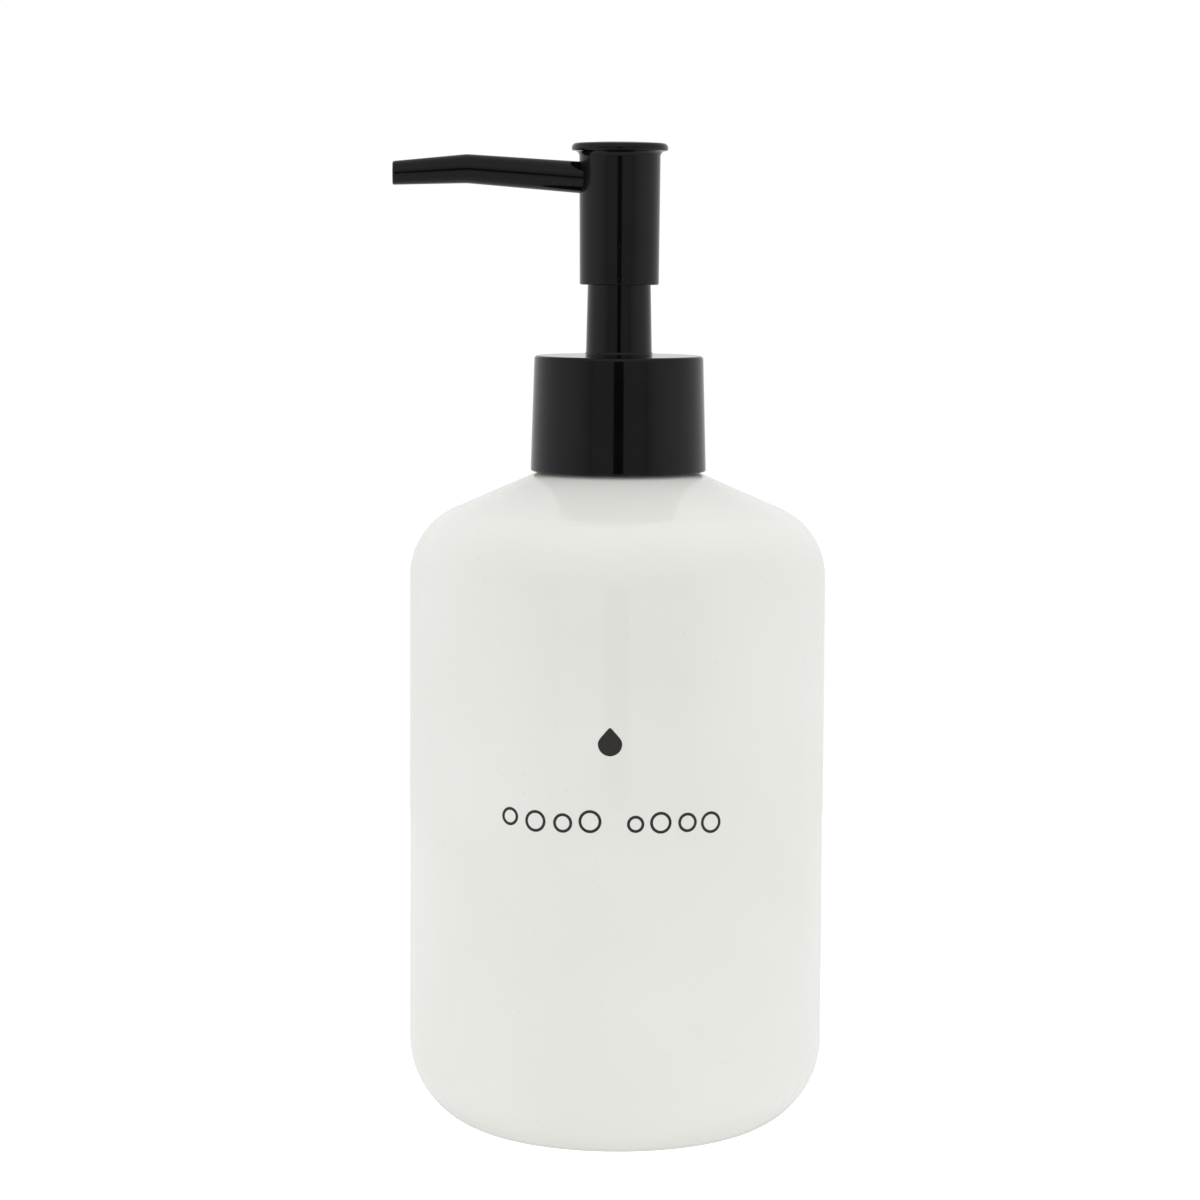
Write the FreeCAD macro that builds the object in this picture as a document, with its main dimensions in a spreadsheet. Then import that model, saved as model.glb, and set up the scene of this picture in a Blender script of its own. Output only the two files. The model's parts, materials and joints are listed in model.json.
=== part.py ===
"""A soap pump dispenser: a glazed ceramic bottle with a screw-on lotion pump.

Millimetres, +Z up. The origin is on the bottle's axis at the plane that the foot ring
stands on, and the pump's nozzle points along -X.
"""
import FreeCAD, Part
import math
import os
import re
import Sketcher

# --------------------------------------------------------------------------
# Driving dimensions. Every size that can be set by itself is here, once.
# --------------------------------------------------------------------------
SIZES = {
    # bottle
    "body_radius": 37.5,
    "body_wall": 4.0,
    "base_thickness": 5.0,
    "base_round": 16.5,
    "shoulder_corner_height": 109.23,
    "shoulder_slope": 23.7,
    "shoulder_round": 13.3,
    "foot_inner_radius": 16.5,
    "foot_recess": 1.2,
    "foot_bevel": 1.6,
    "neck_wall": 2.8,
    "neck_length": 15.01,
    "neck_side_gap": 1.6,
    "neck_lip_round": 0.6,
    "land_width": 2.5,
    # threaded ring glued round the neck, and the closure that screws on it
    "glue_gap": 0.05,
    "ring_wall": 1.1,
    "thread_pitch": 4.23,
    "thread_depth": 1.15,
    "thread_root_width": 2.0,
    "thread_crest_width": 1.1,
    "ring_thread_turns": 1.25,
    "ring_thread_below_rim": 8.2,
    "thread_side_gap": 0.35,
    "thread_radial_gap": 0.4,
    "thread_bite": 0.1,
    "closure_thread_turns": 1.2,
    "closure_length": 20.75,
    "closure_wall": 1.1,
    "closure_flare": 0.62,
    "closure_top_thickness": 1.6,
    "closure_edge_round": 0.6,
    "closure_rim_round": 0.3,
    "closure_lead_in": 0.9,
    "closure_lead_in_width": 0.8,
    # gasket, housing flange and collar flange, stacked on the rim
    "gasket_thickness": 1.2,
    "flange_thickness": 1.4,
    "flange_inset": 0.15,
    "collar_flange_thickness": 1.4,
    "collar_flange_inset": 3.0,
    "turning_gap": 0.1,
    # collar that guides the stem, and the soft seal in it
    "collar_wall": 1.53,
    "collar_taper": 0.36,
    "collar_rise": 17.4,
    "collar_hole_gap": 0.2,
    "collar_tip_round": 0.4,
    "sleeve_length": 11.6,
    "sleeve_wall": 1.45,
    "seal_height": 2.5,
    "seal_lip": 0.7,
    # housing, the pump's cylinder
    "cylinder_wall": 1.1,
    "tail_wall": 1.6,
    "tail_taper": 4.0,
    "inlet_passage": 2.0,
    "socket_depth": 9.5,
    "vent_radius": 0.6,
    # valve balls and their seats
    "seat_angle": 45.0,
    "seat_lip": 0.1,
    "inlet_ball_radius": 2.4,
    "inlet_ball_side_gap": 0.6,
    "inlet_lift": 1.5,
    "outlet_ball_radius": 1.98,
    "outlet_ball_side_gap": 0.32,
    "outlet_lift": 1.2,
    "ball_rest_gap": 0.02,
    # dip tube
    "tube_bore": 2.0,
    "tube_wall": 0.8,
    "tube_floor_gap": 2.5,
    "tube_cut_angle": 30.0,
    # ball cage and spring
    "cage_thickness": 1.2,
    "cage_boss_height": 1.6,
    "cage_hole_radius": 0.8,
    "cage_hole_circle": 1.75,
    "cage_holes": 4,
    "spring_length": 22.0,
    "spring_side_gap": 1.25,
    "wire_radius": 0.45,
    "spring_turns": 8.0,
    "spring_fit_gap": 0.25,
    # stem, piston and piston seat
    "stroke": 12.0,
    "stem_radius": 3.0,
    "stem_step": 0.6,
    "side_hole_radius": 0.8,
    "side_hole_height": 4.0,
    "shoulder_gap": 1.2,
    "piston_slip": 1.0,
    "piston_slip_gap": 0.1,
    "piston_length": 7.4,
    "piston_lip": 1.3,
    "piston_waist_depth": 0.95,
    "piston_recess": 0.95,
    "piston_recess_depth": 5.4,
    "seat_disc_thickness": 1.5,
    "seat_disc_cover": 1.3,
    "seat_plug_length": 2.8,
    "seat_boss_height": 2.2,
    "sliding_gap": 0.05,
    "stem_guide_gap": 0.2,
    # head, with its nozzle
    "press_gap": 0.7,
    "head_inner_gap": 0.5,
    "head_side_gap": 0.32,
    "head_skirt_wall": 0.87,
    "head_draft": 0.17,
    "head_length": 23.85,
    "button_overhang": 1.57,
    "button_edge": 1.4,
    "button_dome": 0.35,
    "button_round": 0.9,
    "cove_flat": 0.1,
    "skirt_edge_round": 0.25,
    "post_wall": 1.0,
    "post_side_gap": 0.4,
    "post_recess": 2.2,
    "stem_engagement": 11.0,
    "seal_post_gap": 0.8,
    "channel_floor": 0.5,
    "channel_radius": 0.9,
    "outlet_radius": 0.85,
    "nozzle_root_radius": 2.85,
    "nozzle_root_bite": 0.8,
    "nozzle_bend_radius": 2.6,
    "nozzle_tip_radius": 2.12,
    "nozzle_bend_reach": 27.4,
    "nozzle_bend_length": 5.0,
    "nozzle_reach": 40.7,
    "nozzle_bend_rise": 1.94,
    "nozzle_tip_rise": 1.10,
    "nozzle_tip_round": 0.35,
}

# --------------------------------------------------------------------------
# Sizes worked out from the driving ones, as formulas in their names.
# --------------------------------------------------------------------------
WORKED = {
    # radii, from the stem outwards
    "stem_neck_radius": "stem_radius - stem_step",
    "stem_bore": "outlet_ball_radius * cos(seat_angle) - seat_lip",
    "post_radius": "stem_radius + post_wall",
    "collar_bore": "post_radius + post_side_gap",
    "collar_base_radius": "collar_bore + collar_wall",
    "collar_tip_radius": "collar_base_radius - collar_taper",
    "sleeve_radius": "collar_bore + sleeve_wall",
    "cylinder_bore": "sleeve_radius + sliding_gap",
    "cylinder_radius": "cylinder_bore + cylinder_wall",
    "neck_bore": "cylinder_radius + neck_side_gap",
    "neck_radius": "neck_bore + neck_wall",
    "ring_bore": "neck_radius + glue_gap",
    "ring_radius": "ring_bore + ring_wall",
    "flange_radius": "ring_radius - flange_inset",
    "collar_flange_radius": "flange_radius - collar_flange_inset",
    "head_bore": "collar_base_radius + head_side_gap",
    "head_skirt_radius": "head_bore + head_skirt_wall",
    "head_neck_radius": "head_skirt_radius + head_draft",
    "button_radius": "head_neck_radius + button_overhang",
    # bottle
    "land_radius": "neck_radius + land_width",
    "land_height": "shoulder_corner_height + (body_radius - land_radius) * tan(shoulder_slope)",
    "rim_height": "land_height + neck_length",
    "cavity_radius": "body_radius - body_wall",
    "floor_height": "foot_recess + base_thickness",
    "shoulder_drop": "body_wall * tan(shoulder_slope) - body_wall / cos(shoulder_slope)",
    "cavity_corner_height": "shoulder_corner_height + shoulder_drop",
    "cavity_neck_height": "cavity_corner_height + (cavity_radius - neck_bore) * tan(shoulder_slope)",
    # neck ring and closure
    "thread_crest": "ring_radius + thread_depth",
    "ring_thread_height": "rim_height - ring_thread_below_rim",
    "closure_bore": "thread_crest + thread_radial_gap",
    "closure_thread_crest": "ring_radius + thread_radial_gap",
    "closure_top_radius": "closure_bore + closure_wall",
    "closure_bottom_radius": "closure_top_radius + closure_flare",
    "closure_thread_height":
        "ring_thread_height - (thread_root_width + thread_crest_width) / 2 - thread_side_gap",
    # the stack on the rim
    "gasket_top": "rim_height + gasket_thickness",
    "housing_top": "gasket_top + flange_thickness",
    "collar_flange_top": "housing_top + collar_flange_thickness",
    "ceiling_height": "collar_flange_top + turning_gap",
    "closure_top": "ceiling_height + closure_top_thickness",
    "closure_bottom": "closure_top - closure_length",
    "closure_hole": "collar_base_radius + collar_hole_gap",
    "collar_top": "closure_top + collar_rise",
    "sleeve_bottom": "housing_top - sleeve_length",
    # head
    "head_bottom": "closure_top + stroke + press_gap",
    "head_shoulder": "head_bottom + head_length",
    "head_top": "head_shoulder + button_edge + button_dome",
    "head_ceiling": "collar_top + stroke + head_inner_gap",
    "post_bottom": "head_bottom + post_recess",
    "nozzle_height": "head_ceiling + channel_floor + channel_radius",
    # stem and outlet valve
    "stem_top": "post_bottom + stem_engagement",
    "outlet_apex_drop": "outlet_ball_radius / sin(seat_angle) - stem_bore / tan(seat_angle)",
    "outlet_ball_height": "stem_top - outlet_lift - outlet_ball_radius",
    "outlet_seat_height": "outlet_ball_height - ball_rest_gap - outlet_apex_drop",
    "outlet_chamber_radius": "outlet_ball_radius + outlet_ball_side_gap",
    "outlet_cone_top":
        "outlet_seat_height + (outlet_chamber_radius - stem_bore) / tan(seat_angle)",
    "stem_shoulder": "sleeve_bottom - shoulder_gap",
    # piston
    "piston_top": "stem_shoulder - piston_slip - piston_slip_gap",
    "piston_bottom": "piston_top - piston_length",
    "piston_bore": "stem_neck_radius + sliding_gap",
    "piston_radius": "cylinder_bore - sliding_gap",
    "piston_waist": "piston_radius - piston_waist_depth",
    "piston_recess_radius": "piston_bore + piston_recess",
    "seat_disc_radius": "piston_recess_radius + seat_disc_cover",
    "seat_disc_bottom": "piston_bottom - seat_disc_thickness",
    # spring, cage and inlet valve
    "cage_top": "seat_disc_bottom - spring_length",
    "cage_bottom": "cage_top - cage_thickness",
    "inlet_bore": "inlet_ball_radius * cos(seat_angle) - seat_lip",
    "chamber_radius": "inlet_ball_radius + inlet_ball_side_gap",
    "inlet_ball_height": "cage_bottom - inlet_lift - inlet_ball_radius",
    "inlet_apex_drop": "inlet_ball_radius / sin(seat_angle) - inlet_bore / tan(seat_angle)",
    "inlet_seat_height": "inlet_ball_height - ball_rest_gap - inlet_apex_drop",
    "inlet_cone_top": "inlet_seat_height + (chamber_radius - inlet_bore) / tan(seat_angle)",
    "spring_radius": "cylinder_bore - wire_radius - spring_side_gap",
    "spring_boss_radius": "spring_radius - wire_radius - spring_fit_gap",
    # housing tail and dip tube
    "tube_radius": "tube_bore + tube_wall",
    "socket_radius": "tube_radius + sliding_gap",
    "tail_radius": "socket_radius + tail_wall",
    "socket_top": "inlet_seat_height - inlet_passage",
    "housing_bottom": "socket_top - socket_depth",
    "tube_bottom": "floor_height + tube_floor_gap",
    # stem seal
    "seal_top": "post_bottom - stroke - seal_post_gap",
    "seal_bottom": "seal_top - seal_height",
    "guide_radius": "stem_radius + stem_guide_gap",
    "seal_radius": "collar_bore - sliding_gap",
    "seal_bore": "stem_radius + sliding_gap",
}

FULL_TURN = 360
TURNS_PER_FACE = 0.5

doc = FreeCAD.newDocument("soap_pump")
sheet = doc.addObject("Spreadsheet::Sheet", "Sizes")
for row, (alias, number) in enumerate(SIZES.items(), start=1):
    sheet.set(f"A{row}", alias)
    sheet.set(f"B{row}", str(number))
    sheet.setAlias(f"B{row}", alias)
doc.recompute()


def formula(text):
    """Turn a formula in the names above into one that reads the sheet."""
    def swap(match):
        word = match.group(0)
        if word in SIZES:
            return f"Sizes.{word}"
        if word in WORKED:
            return f"({formula(WORKED[word])})"
        return word
    return re.sub(r"[a-z_]+", swap, str(text))


def value(text):
    """The number that a formula has now."""
    return float(sheet.evalExpression(formula(text)))


# --------------------------------------------------------------------------
# Modelling helpers.
# --------------------------------------------------------------------------
def new_body(label):
    """One PartDesign body per sub-part."""
    body = doc.addObject("PartDesign::Body", label)
    body.Label = label
    return body


def new_sketch(body, name, plane="XZ_Plane", offset=None):
    """An empty sketch on one of the body's own origin planes."""
    sketch = body.newObject("Sketcher::SketchObject", name)
    face = [item for item in body.Origin.OriginFeatures if item.Role == plane][0]
    sketch.AttachmentSupport = (face, [""])
    sketch.MapMode = "FlatFace"
    if offset:
        sketch.setExpression(".AttachmentOffset.Base.z", formula(offset))
    return sketch


def place_point(sketch, geometry, end, across, up):
    """Tie one sketch point to its two formulas."""
    for kind, text in (("DistanceX", across), ("DistanceY", up)):
        number = value(text)
        if abs(number) < 1e-9:
            axis = -2 if kind == "DistanceX" else -1
            sketch.addConstraint(Sketcher.Constraint("PointOnObject", geometry, end, axis))
            continue
        index = sketch.addConstraint(
            Sketcher.Constraint(kind, -1, 1, geometry, end, number))
        sketch.setExpression(f"Constraints[{index}]", formula(text))


def outline(body, name, corners, plane="XZ_Plane", dome_after=None):
    """A closed outline through corners given as (radius, height) formulas.

    dome_after names the corner whose next side is an arc centred on the axis.
    """
    sketch = new_sketch(body, name, plane)
    points = [FreeCAD.Vector(value(x), value(y), 0) for x, y in corners]
    count = len(points)
    for index, start in enumerate(points):
        end = points[(index + 1) % count]
        if index == dome_after:
            sketch.addGeometry(dome_arc(start, end))
        else:
            sketch.addGeometry(Part.LineSegment(start, end))
    for index in range(count):
        after = (index + 1) % count
        if index == dome_after:
            sketch.addConstraint(Sketcher.Constraint("Coincident", index, 2, after, 1))
            sketch.addConstraint(Sketcher.Constraint("PointOnObject", index, 3, -2))
        else:
            sketch.addConstraint(Sketcher.Constraint("Coincident", index, 2, after, 1))
    for index, (across, up) in enumerate(corners):
        place_point(sketch, index, 1, across, up)
    doc.recompute()
    return sketch


def dome_arc(edge, crown):
    """The arc from edge up to crown, a point on the axis, that is level at the crown."""
    rise = crown.y - edge.y
    radius = (edge.x ** 2 + rise ** 2) / (2 * rise)
    centre = FreeCAD.Vector(0, crown.y - radius, 0)
    circle = Part.Circle(centre, FreeCAD.Vector(0, 0, 1), radius)
    start = math.atan2(edge.y - centre.y, edge.x)
    return Part.ArcOfCircle(circle, start, math.pi / 2)


def revolve(body, name, sketch, kind="Revolution"):
    """A full turn of the sketch about the Z axis."""
    feature = body.newObject(f"PartDesign::{kind}", name)
    feature.Profile = (sketch, [""])
    feature.ReferenceAxis = (sketch, ["V_Axis"])
    feature.Angle = FULL_TURN
    doc.recompute()
    return feature


def turned(label, corners, dome_after=None):
    """A body that is one revolved outline."""
    body = new_body(label)
    sketch = outline(body, f"{label}_outline", corners, dome_after=dome_after)
    revolve(body, f"{label}_turned", sketch)
    return body


def ring_edges(shape, corners):
    """Names of the circular edges at the given (radius, height) corners."""
    names = []
    for radius, height in corners:
        for index, edge in enumerate(shape.Edges, start=1):
            if edge.Degenerated or not isinstance(edge.Curve, Part.Circle):
                continue
            curve = edge.Curve
            on_axis = math.hypot(curve.Center.x, curve.Center.y) < 1e-4
            fits = abs(curve.Radius - value(radius)) < 1e-3
            level = abs(curve.Center.z - value(height)) < 1e-3
            if on_axis and fits and level:
                names.append(f"Edge{index}")
    return names


def round_edges(body, name, corners, radius):
    """Fillet the circular edges at the given corners."""
    names = ring_edges(body.Shape, corners)
    if len(names) < len(corners):
        raise RuntimeError(f"{name}: {len(names)} edges for {len(corners)} corners")
    return fillet_edges(body, name, names, radius)


def fillet_edges(body, name, names, radius):
    """A fillet on named edges of the body as it stands."""
    base = body.Tip
    fillet = body.newObject("PartDesign::Fillet", name)
    fillet.Base = (base, names)
    fillet.setExpression("Radius", formula(radius))
    doc.recompute()
    return fillet


def drill(body, name, circles, plane, offset=None, through=True, reverse=False):
    """Round holes, given as (across, up, radius) formulas on an origin plane."""
    sketch = new_sketch(body, f"{name}_sketch", plane, offset)
    for index, (across, up, radius) in enumerate(circles):
        centre = FreeCAD.Vector(value(across), value(up), 0)
        circle = Part.Circle(centre, FreeCAD.Vector(0, 0, 1), value(radius))
        sketch.addGeometry(circle)
        place_point(sketch, index, 3, across, up)
        size = sketch.addConstraint(Sketcher.Constraint("Radius", index, value(radius)))
        sketch.setExpression(f"Constraints[{size}]", formula(radius))
    doc.recompute()
    before = body.Shape.Volume
    pocket = body.newObject("PartDesign::Pocket", name)
    pocket.Profile = (sketch, [""])
    pocket.Type = "ThroughAll"
    pocket.Midplane = through
    pocket.Reversed = reverse
    doc.recompute()
    if body.Shape.Volume >= before:
        raise RuntimeError(f"{name} cut nothing")
    return pocket


def thread(body, name, root, crest, height, turns):
    """A right-handed ridge from radius root to radius crest, starting at a height."""
    sketch = outline(body, f"{name}_outline", [
        (root, f"{height} - thread_root_width / 2"),
        (crest, f"{height} - thread_crest_width / 2"),
        (crest, f"{height} + thread_crest_width / 2"),
        (root, f"{height} + thread_root_width / 2"),
    ])
    helix = body.newObject("PartDesign::AdditiveHelix", name)
    helix.Profile = (sketch, [""])
    helix.ReferenceAxis = (sketch, ["V_Axis"])
    helix.Mode = "pitch-turns-angle"
    helix.setExpression("Pitch", formula("thread_pitch"))
    helix.setExpression("Turns", formula(turns))
    helix.Reversed = False
    doc.recompute()
    return helix


# --------------------------------------------------------------------------
# The bottle, its threaded ring and the closure.
# --------------------------------------------------------------------------
def make_bottle():
    """Slip-cast ceramic: a straight side, a sloping shoulder, and a foot ring."""
    body = turned("bottle", [
        ("0", "foot_recess"),
        ("foot_inner_radius - foot_bevel", "foot_recess"),
        ("foot_inner_radius", "0"),
        ("body_radius", "0"),
        ("body_radius", "shoulder_corner_height"),
        ("land_radius", "land_height"),
        ("neck_radius", "land_height"),
        ("neck_radius", "rim_height"),
        ("neck_bore", "rim_height"),
        ("neck_bore", "cavity_neck_height"),
        ("cavity_radius", "cavity_corner_height"),
        ("cavity_radius", "floor_height"),
        ("0", "floor_height"),
    ])
    round_edges(body, "base_corner", [("body_radius", "0")], "base_round")
    round_edges(body, "floor_corner", [("cavity_radius", "floor_height")],
                "base_round - body_wall")
    round_edges(body, "shoulder_corner", [("body_radius", "shoulder_corner_height")],
                "shoulder_round")
    round_edges(body, "cavity_corner", [("cavity_radius", "cavity_corner_height")],
                "shoulder_round - body_wall")
    round_edges(body, "lip", [("neck_radius", "rim_height"), ("neck_bore", "rim_height")],
                "neck_lip_round")
    return body


def make_neck_ring():
    """A plastic ring with the outside thread, glued round the ceramic neck."""
    body = turned("neck_ring", [
        ("ring_bore", "land_height"),
        ("ring_radius", "land_height"),
        ("ring_radius", "rim_height"),
        ("ring_bore", "rim_height"),
    ])
    thread(body, "ring_thread", "ring_radius - thread_bite", "thread_crest",
           "ring_thread_height", "ring_thread_turns")
    return body


def make_closure():
    """The screw closure: a plain tapered cap with a hole for the collar."""
    body = turned("closure", [
        ("closure_hole", "ceiling_height"),
        ("closure_bore", "ceiling_height"),
        ("closure_bore", "closure_bottom + closure_lead_in"),
        ("closure_bore + closure_lead_in_width", "closure_bottom"),
        ("closure_bottom_radius", "closure_bottom"),
        ("closure_top_radius", "closure_top"),
        ("closure_hole", "closure_top"),
    ])
    round_edges(body, "closure_top_edge", [("closure_top_radius", "closure_top")],
                "closure_edge_round")
    round_edges(body, "closure_bottom_edge", [("closure_bottom_radius", "closure_bottom")],
                "closure_rim_round")
    thread(body, "closure_thread", "closure_bore + thread_bite", "closure_thread_crest",
           "closure_thread_height", "closure_thread_turns")
    return body


# --------------------------------------------------------------------------
# The pump's fixed pieces.
# --------------------------------------------------------------------------
def make_gasket():
    """A soft flat ring between the rim and the housing's flange."""
    return turned("gasket", [
        ("neck_bore", "rim_height"),
        ("flange_radius", "rim_height"),
        ("flange_radius", "gasket_top"),
        ("neck_bore", "gasket_top"),
    ])


def make_housing():
    """The pump's cylinder, with the inlet seat and the dip tube's socket below it."""
    body = turned("housing", [
        ("socket_radius", "housing_bottom"),
        ("tail_radius", "housing_bottom"),
        ("tail_radius", "cage_bottom - tail_taper"),
        ("cylinder_radius", "cage_bottom"),
        ("cylinder_radius", "gasket_top"),
        ("flange_radius", "gasket_top"),
        ("flange_radius", "housing_top"),
        ("cylinder_bore", "housing_top"),
        ("cylinder_bore", "cage_bottom"),
        ("chamber_radius", "cage_bottom"),
        ("chamber_radius", "inlet_cone_top"),
        ("inlet_bore", "inlet_seat_height"),
        ("inlet_bore", "socket_top"),
        ("socket_radius", "socket_top"),
    ])
    drill(body, "vent", [("0", "piston_bottom + piston_length / 2", "vent_radius")],
          "XZ_Plane", through=False)
    return body


def make_collar():
    """The collar that stands through the closure, with its sleeve in the cylinder."""
    body = turned("collar", [
        ("collar_bore", "sleeve_bottom"),
        ("sleeve_radius", "sleeve_bottom"),
        ("sleeve_radius", "housing_top"),
        ("collar_flange_radius", "housing_top"),
        ("collar_flange_radius", "collar_flange_top"),
        ("collar_base_radius", "collar_flange_top"),
        ("collar_base_radius", "closure_top"),
        ("collar_tip_radius", "collar_top"),
        ("collar_bore", "collar_top"),
        ("collar_bore", "seal_bottom"),
        ("guide_radius", "seal_bottom"),
        ("guide_radius", "collar_flange_top"),
        ("collar_bore", "collar_flange_top"),
    ])
    round_edges(body, "collar_tip", [("collar_tip_radius", "collar_top")],
                "collar_tip_round")
    return body


def make_stem_seal():
    """A soft wiper ring in the collar, round the stem, with a thin lip."""
    return turned("stem_seal", [
        ("seal_bore + seal_lip", "seal_bottom"),
        ("seal_radius", "seal_bottom"),
        ("seal_radius", "seal_top"),
        ("seal_bore", "seal_top"),
        ("seal_bore", "seal_top - seal_lip"),
        ("seal_bore + seal_lip", "seal_top - seal_lip"),
    ])


def make_ball_cage():
    """The perforated disc over the inlet ball, which also centres the spring."""
    body = turned("ball_cage", [
        ("0", "cage_bottom"),
        ("sleeve_radius", "cage_bottom"),
        ("sleeve_radius", "cage_top"),
        ("spring_boss_radius", "cage_top"),
        ("spring_boss_radius", "cage_top + cage_boss_height"),
        ("0", "cage_top + cage_boss_height"),
    ])
    hole = drill(body, "cage_hole", [("cage_hole_circle", "0", "cage_hole_radius")],
                 "XY_Plane", through=True)
    pattern = body.newObject("PartDesign::PolarPattern", "cage_hole_ring")
    pattern.Originals = [hole]
    axis = [item for item in body.Origin.OriginFeatures if item.Role == "Z_Axis"][0]
    pattern.Axis = (axis, [""])
    pattern.Angle = FULL_TURN
    pattern.setExpression("Occurrences", formula("cage_holes"))
    body.Tip = pattern
    doc.recompute()
    return body


def make_dip_tube():
    """A soft tube from the housing's socket to just above the floor, cut at a slant."""
    body = turned("dip_tube", [
        ("tube_bore", "tube_bottom"),
        ("tube_radius", "tube_bottom"),
        ("tube_radius", "socket_top"),
        ("tube_bore", "socket_top"),
    ])
    wedge = outline(body, "slant_outline", [
        ("-2 * tube_radius", "tube_bottom"),
        ("tube_radius", "tube_bottom"),
        ("-2 * tube_radius", "tube_bottom + 3 * tube_radius * tan(tube_cut_angle)"),
    ])
    slant = body.newObject("PartDesign::Pocket", "slant_cut")
    slant.Profile = (wedge, [""])
    slant.Type = "ThroughAll"
    slant.Midplane = True
    doc.recompute()
    return body


def make_ball(label, radius, height):
    """A valve ball resting just clear of its seat."""
    ball = doc.addObject("Part::Sphere", label)
    ball.Label = label
    ball.setExpression("Radius", formula(radius))
    ball.setExpression(".Placement.Base.z", formula(height))
    return ball


def make_spring():
    """A compression spring between the cage and the piston seat."""
    coil = doc.addObject("Part::Helix", "spring_line")
    coil.setExpression("Height", formula("spring_length - 2 * wire_radius"))
    coil.setExpression("Pitch", formula("(spring_length - 2 * wire_radius) / spring_turns"))
    coil.setExpression("Radius", formula("spring_radius"))
    coil.SegmentLength = TURNS_PER_FACE
    wire = doc.addObject("Part::Circle", "spring_wire")
    wire.setExpression("Radius", formula("wire_radius"))
    wire.Placement = FreeCAD.Placement(
        FreeCAD.Vector(value("spring_radius"), 0, 0),
        FreeCAD.Rotation(FreeCAD.Vector(1, 0, 0), 90))
    wire.setExpression(".Placement.Base.x", formula("spring_radius"))
    spring = doc.addObject("Part::Sweep", "spring")
    spring.Label = "spring"
    spring.Sections = [wire]
    spring.Spine = coil
    spring.Solid = True
    spring.Frenet = True
    spring.setExpression(".Placement.Base.z", formula("cage_top + wire_radius"))
    doc.recompute()
    return spring


# --------------------------------------------------------------------------
# The pump's moving pieces.
# --------------------------------------------------------------------------
def make_stem():
    """The hollow stem, with the outlet valve's seat at its top and two side holes."""
    body = turned("stem", [
        ("stem_bore", "piston_bottom"),
        ("stem_neck_radius", "piston_bottom"),
        ("stem_neck_radius", "stem_shoulder"),
        ("stem_radius", "stem_shoulder"),
        ("stem_radius", "stem_top"),
        ("outlet_chamber_radius", "stem_top"),
        ("outlet_chamber_radius", "outlet_cone_top"),
        ("stem_bore", "outlet_seat_height"),
    ])
    drill(body, "side_holes",
          [("0", "piston_bottom + side_hole_height", "side_hole_radius")],
          "XZ_Plane", through=True)
    return body


def make_piston():
    """The piston ring: two thin lips on the cylinder, and a recess that feeds the stem."""
    return turned("piston", [
        ("piston_recess_radius", "piston_bottom"),
        ("piston_radius", "piston_bottom"),
        ("piston_radius", "piston_bottom + piston_lip"),
        ("piston_waist", "piston_bottom + 2 * piston_lip"),
        ("piston_waist", "piston_top - 2 * piston_lip"),
        ("piston_radius", "piston_top - piston_lip"),
        ("piston_radius", "piston_top"),
        ("piston_bore", "piston_top"),
        ("piston_bore", "piston_bottom + piston_recess_depth"),
        ("piston_recess_radius", "piston_bottom + piston_recess_depth"),
    ])


def make_piston_seat():
    """The disc that closes the piston, plugged into the stem and centred in the spring."""
    return turned("piston_seat", [
        ("0", "seat_disc_bottom - seat_boss_height"),
        ("spring_boss_radius", "seat_disc_bottom - seat_boss_height"),
        ("spring_boss_radius", "seat_disc_bottom"),
        ("seat_disc_radius", "seat_disc_bottom"),
        ("seat_disc_radius", "piston_bottom"),
        ("stem_bore", "piston_bottom"),
        ("stem_bore", "piston_bottom + seat_plug_length"),
        ("0", "piston_bottom + seat_plug_length"),
    ])


def nozzle_section(body, name, reach, rise, radius):
    """A round section of the nozzle, on a plane square to X."""
    sketch = new_sketch(body, name, "YZ_Plane", f"-({reach})")
    up = f"nozzle_height + {rise}"
    centre = FreeCAD.Vector(0, value(up), 0)
    sketch.addGeometry(Part.Circle(centre, FreeCAD.Vector(0, 0, 1), value(radius)))
    place_point(sketch, 0, 3, "0", up)
    size = sketch.addConstraint(Sketcher.Constraint("Radius", 0, value(radius)))
    sketch.setExpression(f"Constraints[{size}]", formula(radius))
    doc.recompute()
    return sketch


def nozzle_run(body, name, kind, stations):
    """A loft through round sections, each (reach, rise, radius)."""
    sections = [
        nozzle_section(body, f"{name}_{index}", *station)
        for index, station in enumerate(stations)
    ]
    loft = body.newObject(f"PartDesign::{kind}Loft", name)
    loft.Profile = (sections[0], [""])
    loft.Sections = [(section, [""]) for section in sections[1:]]
    loft.Ruled = False
    loft.Closed = False
    doc.recompute()
    return loft


def nozzle_stations(start, root, bend, tip):
    """Stations along the nozzle: near its root, either side of the bend, and its tip."""
    half = "nozzle_bend_length / 2"
    before = f"({half}) / nozzle_bend_reach"
    beyond = f"({half}) / (nozzle_reach - nozzle_bend_reach)"
    return [
        (start, "0", root),
        (f"nozzle_bend_reach - {half}", f"nozzle_bend_rise * (1 - {before})",
         f"{bend} + ({root} - {bend}) * {before}"),
        (f"nozzle_bend_reach + {half}",
         f"nozzle_bend_rise - (nozzle_bend_rise - nozzle_tip_rise) * {beyond}",
         f"{bend} - ({bend} - {tip}) * {beyond}"),
        ("nozzle_reach", "nozzle_tip_rise", tip),
    ]


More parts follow.
